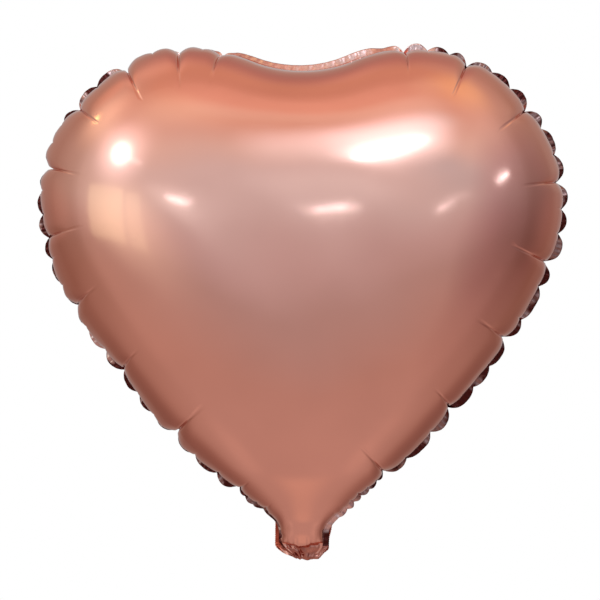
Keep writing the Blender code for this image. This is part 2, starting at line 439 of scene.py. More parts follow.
def film_at(x, z):
    """The film's height at plan points, between the grid's points."""
    u = np.clip((x - FILM_X[0]) / FILM_STEP, 0, len(FILM_X) - 2.001)
    v = np.clip((z - FILM_Z[0]) / FILM_STEP, 0, len(FILM_Z) - 2.001)
    i, j = u.astype(int), v.astype(int)
    u, v = u - i, v - j
    low = FILM[j, i] * (1 - u) + FILM[j, i + 1] * u
    high = FILM[j + 1, i] * (1 - u) + FILM[j + 1, i + 1] * u
    return low * (1 - v) + high * v


def swell(x, z):
    """Long, very shallow waves over the whole panel, which make reflections waver as they do on foil."""
    waves = np.sin(x * 47 + z * 21 + 1.0) + np.sin(z * 58 - x * 33 + 2.4) + np.sin(x * 83 + z * 64 + 0.3)
    return SWELL * waves


def depth_of(film, x, z):
    """Depth of inextensible foil over the film: upright at the seam, nearly level at the crown."""
    share = np.clip(film / FILM_TOP, 0, 1)
    dome = DEPTH * np.sqrt(1 - (1 - share) ** DOME_POWER)
    dome *= mix(NECK_DEPTH_SHARE, 1.0, smooth((z - NECK_TOP) / NECK_EASE))
    gap = NECK_GAP + VALVE_ROOM * np.clip(z - FOLD_Z - VALVE_ROOM_FROM, 0, VALVE_ROOM_RUN)
    neck = gap * (1 - smooth((z - NECK_GAP_END) / NECK_GAP_EASE))
    return dome + neck + swell(x, z) * smooth(share / 0.3)


# Creases ---------------------------------------------------------------------


def crease_places(side, seed):
    """Shares of one side's deep creases, and of the slight ones between and below them."""
    draw = np.random.default_rng(seed)
    count, first, last, crowding = side
    deep = first + (last - first) * np.linspace(0, 1, count) ** crowding
    slight = []
    for start, end in zip(deep, deep[1:]):
        spaces = max(2, round((end - start) / SLIGHT_STEP))
        for k in range(1, spaces):
            slight.append(mix(start, end, (k + draw.uniform(-SLIGHT_JITTER, SLIGHT_JITTER)) / spaces))
    slight.extend(np.arange(last + NECK_CREASE_STEP, NECK_CREASE_END, NECK_CREASE_STEP))
    return deep, slight


def crease_list(seed):
    """(place, strength, reach, lean) of every crease; the places are shared by both panels."""
    draw = np.random.default_rng(seed)
    creases = []
    for hand, side in ((-1, DEEP_LEFT), (1, DEEP_RIGHT)):
        deep, slight = crease_places(side, 4 + hand)
        for share in deep:
            reach = draw.uniform(*DEEP_REACH) if share < LOW_FROM else LOW_REACH
            strength = draw.uniform(*DEEP_STRENGTH)
            creases.append((hand * share, strength, reach, draw.uniform(-DEEP_LEAN, DEEP_LEAN)))
        for share in slight:
            strength = draw.uniform(*SLIGHT_STRENGTH)
            creases.append((hand * share, strength, draw.uniform(*SLIGHT_REACH), 0.0))
    return sorted(creases)


def notch(x):
    """A cusp of height 1 at 0 that runs out at 1."""
    return np.clip(1 - np.abs(x), 0, 1) ** 2


def notch_spread(strength):
    """How far along the seam a crease draws the foil in, to each side."""
    return NOTCH_REACH * (0.55 + 0.45 * strength)


def seam_shift(a, creases):
    """How far the seam is pulled in (negative) along its outward normal at shares a."""
    shift = np.zeros_like(a)
    for place, strength, _, _ in creases:
        away = (a - place) * HALF_LENGTH
        shift -= NOTCH_DEPTH * strength * notch(away / notch_spread(strength))
    return shift * (1 - smooth((np.abs(a) - 0.91) / 0.05) * 0.75)


def seam_sway(a):
    """How far the seam wanders out of its plane at shares a."""
    draw = np.random.default_rng(11)
    sway = np.zeros_like(a)
    for waves in SWAY_WAVES:
        sway += draw.uniform(0.5, 1.0) * np.sin(waves * pi * a + draw.uniform(0, 2 * pi)) / waves**0.5
    return SWAY * sway * (1 - smooth((np.abs(a) - 0.90) / 0.06))


def columns():
    """Outline shares of the columns: bunched at the creases, and the same ones evened out."""
    stops = [-1.0, -NECK_START] + [c[0] for c in crease_list(1)] + [NECK_START, 1.0]
    bunched, even = [], []
    for start, end in zip(stops, stops[1:]):
        in_neck = max(abs(start), abs(end)) > NECK_START
        step = NECK_COLUMN_STEP if in_neck else COLUMN_STEP
        count = max(FEWEST_COLUMNS, round((end - start) * HALF_LENGTH / step))
        u = np.arange(count) / count
        eased = u if in_neck else mix(u, 0.5 - 0.5 * np.cos(pi * u), BUNCHING)
        bunched.append(start + (end - start) * eased)
        even.append(start + (end - start) * u)
    return np.append(np.concatenate(bunched), 1.0), np.append(np.concatenate(even), 1.0)


BUNCHED, EVEN = columns()


def ring_shares(k):
    """Outline shares of ring k's points, before they follow the creases sideways."""
    return mix(BUNCHED, EVEN, smooth((k / RING_COUNT - 0.65) / 0.35))


def lean_at(a, creases):
    """How far the creases near a lean sideways, per metre along the foil."""
    leaning = [c for c in creases if c[1] > 0.6]
    places = [-1.0] + [c[0] for c in leaning] + [1.0]
    leans = [0.0] + [c[3] for c in leaning] + [0.0]
    return np.interp(a, places, leans)


def band_reach(a):
    """How far in the band reaches at shares a, cut short where it would cross the middle."""
    x, _ = on_outline(a, MARGIN)
    inwards = outward(a)[:, 0] * np.sign(x)
    reach = np.where(inwards > 1e-3, np.abs(x) / np.maximum(inwards, 1e-3) * 0.86, 1.0)
    softness = 0.004
    return -np.log(np.exp(-reach / softness) + np.exp(-BAND_DEPTH / softness)) * softness


def base_band(creases):
    """The smooth inflated band: rings of (x, y, z) from the seam inwards, and arc length from the seam."""
    anchor = 0.005  # distance from the seam where the film on the grid takes over
    smoothing = 12  # columns to each side
    kernel = np.exp(-np.linspace(-2, 2, 2 * smoothing + 1) ** 2)
    kernel /= kernel.sum()
    rings = []
    for k in range(RING_COUNT + 1):
        t = k / RING_COUNT
        a = ring_shares(k)
        a = np.clip(a + lean_at(a, creases) * BAND_RUN * t / HALF_LENGTH, -1, 1)
        d = band_reach(a) * t**2
        x, z = on_outline(a, MARGIN)
        out = outward(a)
        near = film_at(x - out[:, 0] * anchor, z - out[:, 2] * anchor)
        near = np.convolve(np.pad(near, smoothing, mode="edge"), kernel, mode="valid")
        px, pz = x - out[:, 0] * d, z - out[:, 2] * d
        rise = near / anchor + anchor / 2
        film = np.where(d < anchor, rise * d - d * d / 2, film_at(px, pz))
        film = np.where(np.abs(a) > NECK_START - 0.02, film_at(px, pz), film)
        y = -depth_of(film, px, pz)
        if k == 0:
            y = 0 * y
        rings.append(np.stack([px, y, pz], axis=1))
    band = np.array(rings)
    step = np.linalg.norm(np.diff(band, axis=0), axis=2)
    run = np.concatenate([np.zeros((1, band.shape[1])), np.cumsum(step, axis=0)])
    return band, run


def crimp(band, run, creases, hand):
    """Presses the creases into the band and lets the foil between them bulge over the seam."""
    face = np.cross(np.gradient(band, axis=0), np.gradient(band, axis=1))
    face /= np.maximum(np.linalg.norm(face, axis=2, keepdims=True), 1e-12)
    out = outward(BUNCHED)
    if (face[RING_COUNT // 2] * out).sum() < 0:
        face = -face
    pull = np.zeros(run.shape)
    groove = np.zeros(run.shape)
    for k in range(RING_COUNT + 1):
        a = ring_shares(k)
        for place, strength, reach, _ in creases:
            along = np.clip(run[k] / reach, 0, 1)
            away = (a - place) * HALF_LENGTH
            spread = notch_spread(strength) * mix(1.0, 0.5, along)
            pull[k] += NOTCH_DEPTH * strength * (1 - along) ** 1.25 * notch(away / spread)
            line = np.clip(run[k] / (GROOVE_LENGTH * reach), 0, 1)
            width = GROOVE_WIDTH * mix(1.0, 0.6, line)
            deep = strength**1.5 * (1 - line) ** 1.2 * smooth(along * 10)
            groove[k] += GROOVE_DEPTH * deep * notch(away / width)
    free = np.clip(1 - pull / NOTCH_DEPTH, 0, 1)
    rise = run / OVERHANG_AT
    side = hand * np.tanh(4 * BUNCHED)
    from_dip, from_foot = np.abs(BUNCHED), 1 - np.abs(BUNCHED)
    overhang = OVERHANG * (1 + OVERHANG_SHARE * side) * (0.66 + 0.60 * np.sin(31 * BUNCHED + 1))
    overhang *= smooth((from_foot - 0.06) / 0.06)
    overhang = mix(DIP_TUCK, overhang, smooth((from_dip - 0.05) / 0.07))
    push = overhang * free * rise * np.exp(1 - rise) - pull - groove
    off_seam = 1 - np.exp(-((run / SEAM_EASE) ** 2))
    moved = band + face * (push * off_seam)[:, :, None]
    moved += out[None] * (seam_shift(BUNCHED, creases) * (1 - off_seam))[:, :, None]
    moved[:, :, 1] += -hand * seam_sway(BUNCHED) * np.exp(-((run / SWAY_REACH) ** 2))
    return moved


def crown_points(loop):
    """A net of plan points inside the band's last ring, given as (x, z) rows."""
    row = CROWN_STEP * CROWN_ROW_SHARE
    points = []
    for j, z in enumerate(np.arange(FOOT + row, SEAL_HIGH.z, row)):
        for x in np.arange(-WIDTH / 2, WIDTH / 2, CROWN_STEP):
            points.append((x + (j % 2) * CROWN_STEP / 2, z))
    points = np.array(points)
    points = points[inside_loop(loop, points[:, 0], points[:, 1])]
    clear = np.array([np.hypot(*(loop - p).T).min() for p in points])
    return points[clear > CROWN_STEP * CROWN_CLEAR]


def gathers(x, z):
    """Small pleats where the neck's film is drawn in above the fold."""
    pleats = np.abs((x / PLEAT_STEP + 0.35 * np.sin(x / 0.004)) % 1 - 0.5) * 2
    low = PLEAT_DEPTH * pleats * np.exp(-(((z - PLEATS_AT) / PLEATS_SPREAD) ** 2))
    fan = x / (0.012 + 0.9 * np.clip(z, 0, None))
    rays = np.sin(26 * fan + 1.2 * np.sin(9 * fan))
    sides = smooth((np.abs(x) - 0.005) / 0.006) * np.exp(-(((z - FAN_AT) / FAN_SPREAD) ** 2))
    return low + FAN_DEPTH * rays * sides


def make_mesh(name, points, faces, thickness, outside=None):
    """A smooth-shaded mesh in its own object. outside is a direction most of its faces should face."""
    mesh = bpy.data.meshes.new(name)
    mesh.from_pydata(np.asarray(points, float).tolist(), [], faces)
    build = bmesh.new()
    build.from_mesh(mesh)
    bmesh.ops.recalc_face_normals(build, faces=build.faces)
    if outside is not None:
        facing = sum((f.normal * f.calc_area() for f in build.faces), Vector()).dot(Vector(outside))
        if facing < 0:
            bmesh.ops.reverse_faces(build, faces=build.faces)
    build.to_mesh(mesh)
    build.free()
    mesh.shade_smooth()
    piece = bpy.data.objects.new(name, mesh)
    bpy.context.scene.collection.objects.link(piece)
    shell = piece.modifiers.new("film", "SOLIDIFY")
    shell.thickness = thickness
    shell.offset = -1.0 if outside is not None else 0.0
    return piece


def grid_faces(rows, count):
    """Quads joining neighbouring rows of points."""
    faces = []
    for k in range(rows - 1):
        for i in range(count - 1):
            p = k * count + i
            faces.append((p, p + 1, p + count + 1, p + count))
    return faces


def panel(name, hand, seed):
    """A blown-up, crimped foil panel. hand is -1 for the front, +1 for the back."""
    creases = crease_list(seed)
    band, run = base_band(creases)
    crimped = crimp(band, run, creases, hand)
    rings, count = crimped.shape[:2]
    plan = band[-1][:, [0, 2]]
    inner = crown_points(plan)
    inner_y = -depth_of(film_at(inner[:, 0], inner[:, 1]), inner[:, 0], inner[:, 1])
    coords = [Vector(p) for p in plan] + [Vector(p) for p in inner]
    edges = [(i, (i + 1) % count) for i in range(count)]
    _, _, tris, origin, _, _ = delaunay_2d_cdt(coords, edges, [list(range(count))], 1, 1e-9)
    source = [o[0] if o else None for o in origin]
    faces = grid_faces(rings, count)
    for tri in tris:
        ids = [source[i] for i in tri]
        if None not in ids:
            faces.append(tuple((rings - 1) * count + i for i in ids))
    inner_points = np.stack([inner[:, 0], inner_y, inner[:, 1]], axis=1)
    points = np.concatenate([crimped.reshape(-1, 3), inner_points])
    points[:, 1] -= gathers(points[:, 0], points[:, 2])
    points[:, 1] *= -hand
    points[:, 1] -= tail_dent(FOLD_TOP - points[:, 2], points[:, 0])
    points[:, 0] = pinch(points[:, 0], points[:, 2] - FOLD_Z)
    return make_mesh(name, points, faces, FOIL, (0, hand, 0))


def sealed_edge():
    """The fused margin round the heart: crinkled, tipped to and fro, and pleated at the creases."""
    creases = crease_list(1)
    draw = np.random.default_rng(5)
    count = round(2 * HALF_LENGTH / EDGE_STEP)
    a = np.linspace(-EDGE_END, EDGE_END, count)
    s = a * HALF_LENGTH
    places = [-1.0] + [c[0] for c in creases] + [1.0]
    middles, tips = [-1.0], [0.0]
    for start, end in zip(places, places[1:]):
        middle = (start + end) / 2
        if middle < -0.24:
            low, high = TIP_LEFT
        elif middle < -0.08:
            low, high = TIP_DIP
        else:
            low, high = TIP_RIGHT
        middles.append(middle)
        tips.append(radians(draw.uniform(low, high)))
    tip = np.interp(a, middles + [1.0], tips + [0.0])
    tip += radians(TIP_CORNER) * np.exp(-(((a - CORNER_AT) / CORNER_SPREAD) ** 2))
    width = MARGIN * mix(1.0, 1.2, smooth(a * 6) * smooth((1 - a) / 0.2))
    for place, strength, _, _ in creases:
        near = notch((a - place) * HALF_LENGTH / PLEAT_REACH)
        tip += draw.choice([-1.0, 1.0]) * radians(TIP_CREASE) * strength * near
        width *= 1 - 0.5 * strength**0.5 * near
    width *= 1 - 0.55 * smooth((-a - 0.925) / 0.03)
    coarse = smooth((0.11 - np.abs(s)) / 0.02)
    phase = np.cumsum(1 / mix(1.0, 1.6, coarse)) * (s[1] - s[0])
    x, z = on_outline(a, MARGIN)
    out = outward(a)
    seam = np.stack([x, seam_sway(a), z], axis=1) + out * seam_shift(a, creases)[:, None]
    rows = []
    for r in range(EDGE_ROWS + 1):
        t = r / EDGE_ROWS
        reach = mix(-EDGE_TUCK, width, t)
        ripple = RIPPLE_DEPTH * np.sin(2 * pi * phase / RIPPLE_STEP + 3 * np.sin(phase / 0.011))
        knurl = np.abs((phase / KNURL_STEP + 0.6 * np.sin(phase / 0.007)) % 1 - 0.5) * 2
        ripple += KNURL_DEPTH * knurl
        row = seam + out * (reach * np.cos(tip))[:, None]
        row[:, 1] += reach * np.sin(tip) + ripple * smooth(t * 1.5)
        row[:, 1] -= tail_dent(FOLD_TOP - row[:, 2], row[:, 0])
        row[:, 0] = pinch(row[:, 0], row[:, 2] - FOLD_Z)
        rows.append(row)
    return make_mesh("sealed_edge", np.concatenate(rows), grid_faces(EDGE_ROWS + 1, count), SEALED)


# Tail ------------------------------------------------------------------------


def crumple(u, v, seed, shortest, longest):
    """Flat little facets meeting at sharp creases, as on crushed film. Roughly -1 to 1."""
    draw = np.random.default_rng(seed)
    total = np.zeros(np.broadcast(u, v).shape)
    for _ in range(FACETS):
        angle, length = draw.uniform(0, pi), draw.uniform(shortest, longest)
        along = (u * cos(angle) + v * sin(angle)) / length
        wave = np.abs((along + draw.uniform(0, 1)) % 1 - 0.5) * 4 - 1
        total += wave * length / longest
    return total / 3


def tail_dent(s, x):
    """How far the crushed tail stands out at path lengths s from the fold and widths x.

    One crease is bolder than the rest. The neck's panels, edge and valve films follow it too.
    """
    near_fold = np.exp(-((s / CRUSH_REACH) ** 2))
    along_tail = smooth(s / 0.02) * 0.5
    deep = CRUSH_DEEP * near_fold + CRUSH_DEEP_ALONG * along_tail
    fine = CRUSH_FINE * near_fold + CRUSH_FINE_ALONG * along_tail
    dent = crumple(x, s, 3, 0.006, 0.017) * deep
    dent += crumple(x * 1.4, s * 0.8, 8, 0.0035, 0.008) * fine
    across = BOLD_CREASE_NORMAL[0] * (x - BOLD_CREASE_AT[0])
    across = across + BOLD_CREASE_NORMAL[1] * (s - BOLD_CREASE_AT[1])
    on_lip = smooth((s + 0.0125) / 0.003) * smooth((0.004 - s) / 0.003)
    dent += BOLD_CREASE_DEPTH * np.clip(1 - np.abs(across) / BOLD_CREASE_WIDTH, 0, 1) * on_lip
    dent *= 1 - 0.65 * np.exp(-((s / 0.0024) ** 2))
    return dent * smooth((s + LIP_HEIGHT) / 0.004 + 0.25)


def tail_layer(s, x, offset):
    """Points of one layer at path lengths s from the fold and widths x. offset is 1 outside, -1 inside."""
    turn = radians(FOLD_ANGLE)
    half_arc = FOLD_RADIUS * turn / 2
    spread = mix(SPREAD_NECK, SPREAD_FOLD, smooth((s + 0.009) / 0.007))
    spread = mix(spread, SPREAD_TAIL, smooth((s - 0.001) / 0.006))
    closing = 0.0030  # width over which the two sheets come together at the side margins
    spread = spread * (1 - 0.75 * smooth((np.abs(x) - NECK_INNER + closing) / closing))
    angle = np.clip((s + half_arc) / FOLD_RADIUS, 0, turn)
    before, after = np.minimum(s + half_arc, 0), np.maximum(s - half_arc, 0)
    normal_y, normal_z = -np.cos(angle), -np.sin(angle)
    along_y, along_z = np.sin(angle), -np.cos(angle)
    straight = before + after
    y = FOLD_RADIUS - 0.0001 + FOLD_RADIUS * normal_y + along_y * straight
    z = FOLD_Z + FOLD_RISE + FOLD_RADIUS * normal_z + along_z * straight
    out = offset * spread + tail_dent(s, x)
    return np.stack([pinch(x, np.abs(s)), y + normal_y * out, z + normal_z * out], axis=-1)


def tail_sheet(name, low, high, offset, thickness, start):
    """One layer of the tail between two widths, from start above the fold to the tail's open end."""
    rows = round((TAIL_LENGTH - start) / TAIL_STEP)
    across = max(8, round((high - low) / TAIL_STEP))
    lengths, widths = np.linspace(start, TAIL_LENGTH, rows), np.linspace(low, high, across)
    s, x = np.meshgrid(lengths, widths, indexing="ij")
    ribs = TAIL_RIB_DEPTH * np.sin(2 * pi * s / TAIL_RIB_STEP) if offset == 0 else 0
    points = tail_layer(s, x + ribs, offset)
    return make_mesh(name, points.reshape(-1, 3), grid_faces(rows, across), thickness)


def bend_at_fold(piece):
    """Bakes a tail piece's placement into its mesh. Its bend, following the neck above the fold and the
    tail beyond it, is made in tail_layer.
    """
    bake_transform(piece)


def valve_film(name, hand):
    """One clear film of the valve: gently rippled, with its foot slightly flared to take a straw."""
    low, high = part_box(name)
    xs = np.linspace(low.x, high.x, VALVE_COLUMNS)
    zs = np.linspace(low.z, high.z, VALVE_ROWS)
    z, x = np.meshgrid(zs, xs, indexing="ij")
    middle = (low.y + high.y) / 2
    ripple = 0.00007 * np.sin(x / 0.0019 + 1.5 * np.sin(z / 0.009)) + 0.00005 * np.sin(z / 0.0041)
    flare = 0.0002 * (1 - smooth((z - low.z) / 0.004))
    dent = tail_dent(FOLD_TOP - z, x)
    points = np.stack([pinch(x, z - FOLD_Z), middle + ripple + hand * flare - dent, z], axis=-1)
    faces = grid_faces(VALVE_ROWS, VALVE_COLUMNS)
    return make_mesh(name.replace("film", "sheet"), points.reshape(-1, 3), faces, VALVE_FILM)


# Materials ---------------------------------------------------------------------


def new_material(name):
    """A material, its node tree, its Principled shader, and its object coordinates."""
    made = bpy.data.materials.new(name)
    made.use_nodes = True
    tree = made.node_tree
    shader = tree.nodes["Principled BSDF"]
    coords = tree.nodes.new("ShaderNodeTexCoord").outputs["Object"]
    return made, tree, shader, coords


def noise(tree, coords, scale, detail=2.0, stretch=(1, 1, 1)):
    """A noise value. scale is in features per metre, and stretch multiplies it along each axis."""
    place = tree.nodes.new("ShaderNodeMapping")
    place.inputs["Scale"].default_value = stretch
    node = tree.nodes.new("ShaderNodeTexNoise")
    node.inputs["Scale"].default_value = scale
    node.inputs["Detail"].default_value = detail
    tree.links.new(coords, place.inputs["Vector"])
    tree.links.new(place.outputs["Vector"], node.inputs["Vector"])
    return node.outputs["Fac"]


def remap(tree, value, low, high, start, end, style="LINEAR"):
    """value's span low to high, turned into start to end."""
    node = tree.nodes.new("ShaderNodeMapRange")
    node.interpolation_type = style
    for name, number in (("From Min", low), ("From Max", high), ("To Min", start), ("To Max", end)):
        node.inputs[name].default_value = number
    tree.links.new(value, node.inputs["Value"])
    return node.outputs["Result"]


def combine(tree, operation, a, b):
    """A maths node on two values, each a socket or a number."""
    node = tree.nodes.new("ShaderNodeMath")
    node.operation = operation
    for place, value in enumerate((a, b)):
        if isinstance(value, bpy.types.NodeSocket):
            tree.links.new(value, node.inputs[place])
        else:
            node.inputs[place].default_value = value
    return node.outputs[0]


def blend_colours(tree, factor, a, b, style="MIX"):
    """A colour mix node. factor is a socket or a number, and each colour a socket or three numbers."""
    node = tree.nodes.new("ShaderNodeMix")
    node.data_type = "RGBA"
    node.blend_type = style
    if isinstance(factor, bpy.types.NodeSocket):
        tree.links.new(factor, node.inputs["Factor"])
    else:
        node.inputs["Factor"].default_value = factor
    for place, value in (("A", a), ("B", b)):
        if isinstance(value, bpy.types.NodeSocket):
            tree.links.new(value, node.inputs[place])
        else:
            node.inputs[place].default_value = (*value, 1.0)
    return node.outputs["Result"]


def toned(tree, colour, value):
    """The colour made lighter or darker by a value near 1."""
    node = tree.nodes.new("ShaderNodeVectorMath")
    node.operation = "SCALE"
    if isinstance(colour, bpy.types.NodeSocket):
        tree.links.new(colour, node.inputs[0])
    else:
        node.inputs[0].default_value = colour
    tree.links.new(value, node.inputs["Scale"])
    return node.outputs[0]


def relief(tree, shader, height):
    """Bump from a height in metres."""
    bump = tree.nodes.new("ShaderNodeBump")
    bump.inputs["Strength"].default_value = 1.0
    bump.inputs["Distance"].default_value = 1.0
    tree.links.new(height, bump.inputs["Height"])
    tree.links.new(bump.outputs["Normal"], shader.inputs["Normal"])


def satin_foil():
    """Rose gold lacquer on metallised film: cloudy from afar, faintly rolled and scratched close up."""
    made, tree, shader, coords = new_material("satin_rose_gold")
    clouds = remap(tree, noise(tree, coords, 16), 0.3, 0.7, 0.965, 1.03)
    grain = remap(tree, noise(tree, coords, 1900, 1), 0.2, 0.8, 0.985, 1.015)
    tone = combine(tree, "MULTIPLY", clouds, grain)
    tree.links.new(toned(tree, SATIN, tone), shader.inputs["Base Color"])
    shader.inputs["Metallic"].default_value = 1.0
    shader.inputs["Specular Tint"].default_value = (*SATIN_EDGE, 1.0)
    haze = remap(tree, noise(tree, coords, 55, 3), 0.3, 0.75, 0.105, 0.15)
    scratches = remap(tree, noise(tree, coords, 420, 2, (0.08, 1, 1)), 0.62, 0.75, 0.0, 0.05)
    tree.links.new(combine(tree, "ADD", haze, scratches), shader.inputs["Roughness"])
    slack = combine(tree, "MULTIPLY", noise(tree, coords, 38, 1), 0.00005)
    rolled = combine(tree, "MULTIPLY", noise(tree, coords, 800, 1, (0.3, 1, 1)), 0.0000007)
    relief(tree, shader, combine(tree, "ADD", slack, rolled))
    return made


def sealed_foil():
    """The fused margin: deep wine red, darkened further as painted shade, with painted reflections that
    make it paler across the dip, on the left in patches and by the neck's right shoulder; knurled by the
    sealing bar.
    """
    made, tree, shader, coords = new_material("sealed_copper")
    split = tree.nodes.new("ShaderNodeSeparateXYZ")
    tree.links.new(coords, split.inputs[0])
    centred = combine(tree, "ABSOLUTE", split.outputs["X"], 0.0)
    # Painted reflection: pale across the dip high up, in noise patches on the left and by the neck's right
    # shoulder; the dark colour elsewhere is painted shade
    near_dip = remap(tree, centred, 0.095, 0.089, 0.0, 1.0, "SMOOTHSTEP")
    high_up = remap(tree, split.outputs["Z"], 0.30, 0.32, 0.0, 1.0, "SMOOTHSTEP")
    on_left = remap(tree, split.outputs["X"], -0.10, -0.14, 0.30, 0.80)
    shoulder = combine(tree, "MULTIPLY", remap(tree, split.outputs["Z"], 0.046, 0.038, 0.0, 0.9),
                       remap(tree, split.outputs["Z"], 0.018, 0.022, 0.0, 1.0))
    by_neck = combine(tree, "MULTIPLY", shoulder, remap(tree, split.outputs["X"], 0.0, 0.006, 0.0, 1.0))
    patches = remap(tree, noise(tree, coords, 60, 2), 0.49, 0.56, 0.0, 1.0)
    pale = combine(tree, "MAXIMUM", combine(tree, "MULTIPLY", near_dip, high_up),
                   combine(tree, "MAXIMUM", combine(tree, "MULTIPLY", on_left, patches), by_neck))
    colour = blend_colours(tree, pale, SEAL_COPPER_PAINTED_SHADE, SEAL_PAINTED_REFLECTION)
    speckle = remap(tree, noise(tree, coords, 600, 2), 0.25, 0.75, 0.8, 1.2)
    tree.links.new(toned(tree, colour, speckle), shader.inputs["Base Color"])
    shader.inputs["Metallic"].default_value = 1.0
    shader.inputs["Specular Tint"].default_value = (*SATIN_EDGE, 1.0)
    rough = remap(tree, noise(tree, coords, 300), 0.3, 0.7, 0.10, 0.22)
    tree.links.new(rough, shader.inputs["Roughness"])
    knurls = combine(tree, "MULTIPLY", noise(tree, coords, 1500, 0), 0.00002)
    buckles = combine(tree, "MULTIPLY", noise(tree, coords, 420, 1), 0.00010)
    relief(tree, shader, combine(tree, "ADD", knurls, buckles))
    return made


def creased_foil():
    """The tail's film: glossy, handled and finely creased, with painted shade in random dark patches,
    strongest on the lip's front and fading towards the back.
    """
    made, tree, shader, coords = new_material("creased_rose_film")
    split = tree.nodes.new("ShaderNodeSeparateXYZ")
    tree.links.new(coords, split.inputs[0])
    # Painted shade: dark noise patches, strongest at the lip's front and fading towards the back as Y
    # grows
    painted_shade = remap(tree, noise(tree, coords, 75, 1), 0.36, 0.64, 0.75, 0.0)
    behind = remap(tree, split.outputs["Y"], 0.002, 0.012, 1.0, 0.3)
    colour = blend_colours(tree, combine(tree, "MULTIPLY", painted_shade, behind), TAIL_LIGHT, TAIL_PAINTED_SHADE)
    speckle = remap(tree, noise(tree, coords, 900, 2), 0.25, 0.75, 0.88, 1.12)
    tree.links.new(toned(tree, colour, speckle), shader.inputs["Base Color"])
    shader.inputs["Metallic"].default_value = 1.0
    shader.inputs["Specular Tint"].default_value = (*SATIN_EDGE, 1.0)
    rough = remap(tree, noise(tree, coords, 200), 0.3, 0.7, 0.06, 0.17)
    tree.links.new(rough, shader.inputs["Roughness"])
    relief(tree, shader, combine(tree, "MULTIPLY", noise(tree, coords, 520, 1), 0.00010))
    return made


def milky_film():
    """The valve's polyethylene: thin, milky and streaked along its length."""
    made, tree, shader, coords = new_material("milky_polyethylene")
    streaks = remap(tree, noise(tree, coords, 300, 2, (1, 1, 0.05)), 0.3, 0.7, 0.0, 1.0)
    colour = blend_colours(tree, streaks, (0.74, 0.76, 0.76), (0.88, 0.89, 0.88))
    tree.links.new(colour, shader.inputs["Base Color"])
    tree.links.new(remap(tree, streaks, 0.0, 1.0, 0.22, 0.36), shader.inputs["Roughness"])
    shader.inputs["Alpha"].default_value = 0.7
    relief(tree, shader, combine(tree, "MULTIPLY", noise(tree, coords, 250, 1), 0.00008))
    return made


def floor_paint():
    """Matt pale paint that fades out towards the floor's rim, and is clear from below."""
    made, tree, shader, coords = new_material("pale_floor")
    shade = remap(tree, noise(tree, coords, 3, 3), 0.3, 0.7, 0.0, 1.0)
    paint = blend_colours(tree, shade, (0.80, 0.79, 0.78), (0.84, 0.83, 0.82))
    tree.links.new(paint, shader.inputs["Base Color"])
    shader.inputs["Roughness"].default_value = 0.7
    reach = tree.nodes.new("ShaderNodeVectorMath")
    reach.operation = "LENGTH"
    tree.links.new(coords, reach.inputs[0])
    near, far = FLOOR_SIZE * 0.18, FLOOR_SIZE * 0.48
    solid = remap(tree, reach.outputs["Value"], near, far, 1.0, 0.0, "SMOOTHSTEP")
    below = tree.nodes.new("ShaderNodeNewGeometry").outputs["Backfacing"]
    from_above = combine(tree, "SUBTRACT", 1.0, below)
    tree.links.new(combine(tree, "MULTIPLY", solid, from_above), shader.inputs["Alpha"])
    return made


# Stage ---------------------------------------------------------------------------


def direction(azimuth, elevation):
    """A unit vector. Azimuth 0 points out of the front, towards -Y, and grows to the right."""
    az, el = radians(azimuth), radians(elevation)
    return Vector((sin(az) * cos(el), -cos(az) * cos(el), sin(el)))


def across_and_up(azimuth, elevation, turn):
    """Two unit vectors square to a direction: right and up as seen on the foil, turned by degrees."""
    right = Vector((cos(radians(azimuth)), sin(radians(azimuth)), 0))
    up = direction(azimuth, elevation + 90)
    c, s = cos(radians(turn)), sin(radians(turn))
    return right * c + up * s, up * c - right * s


def softbox(name, azimuth, elevation, width, height, turn, colour, radiance, shape):
    """An area light far off, facing the balloon. Width and height are in degrees as seen from it."""
    lamp = bpy.data.lights.new(name, "AREA")
    lamp.shape = shape
    lamp.size = 2 * LIGHT_DISTANCE * tan(radians(width) / 2)
    lamp.size_y = 2 * LIGHT_DISTANCE * tan(radians(height) / 2)
    lamp.color = colour
    lamp.energy = radiance * pi * lamp.size * lamp.size_y * (pi / 4 if shape == "ELLIPSE" else 1)
    light = bpy.data.objects.new(name, lamp)
    bpy.context.scene.collection.objects.link(light)
    away = direction(azimuth, elevation)
    right, _ = across_and_up(azimuth, elevation, turn)
    facing = Matrix((right, right.cross(away) * -1, away)).transposed().to_4x4()
    light.matrix_world = Matrix.Translation(MIDDLE + away * LIGHT_DISTANCE) @ facing


def gradient(tree, factor, stops):
    """A colour ramp over factor, with stops of (place, colour)."""
    node = tree.nodes.new("ShaderNodeValToRGB")
    elements = node.color_ramp.elements
    while len(elements) < len(stops):
        elements.new(0.5)
    for element, (place, colour) in zip(elements, stops):
        element.position = place
        element.color = (*colour, 1.0)
    tree.links.new(factor, node.inputs["Fac"])
    return node.outputs["Color"]


def dot(tree, vector, fixed):
    """The dot product of a vector socket and three numbers."""
    node = tree.nodes.new("ShaderNodeVectorMath")
    node.operation = "DOT_PRODUCT"
    tree.links.new(vector, node.inputs[0])
    node.inputs[1].default_value = fixed
    return node.outputs["Value"]


def glow(tree, sight, total, azimuth, elevation, width, height, turn, colour):
    """total with a soft-edged bright patch added. Width and height are its half sizes in degrees."""
    right, up = across_and_up(azimuth, elevation, turn)
    u = combine(tree, "DIVIDE", dot(tree, sight, right), sin(radians(width)))
    v = combine(tree, "DIVIDE", dot(tree, sight, up), sin(radians(height)))
    square = combine(tree, "ADD", combine(tree, "MULTIPLY", u, u), combine(tree, "MULTIPLY", v, v))
    patch = remap(tree, combine(tree, "SQRT", square, 0.0), 1.0, 0.0, 0.0, 1.0, "SMOOTHERSTEP")
    facing = remap(tree, dot(tree, sight, direction(azimuth, elevation)), 0.0, 0.1, 0.0, 1.0)
    patch = combine(tree, "MULTIPLY", patch, facing)
    return blend_colours(tree, 1.0, total, toned(tree, colour, patch), "ADD")


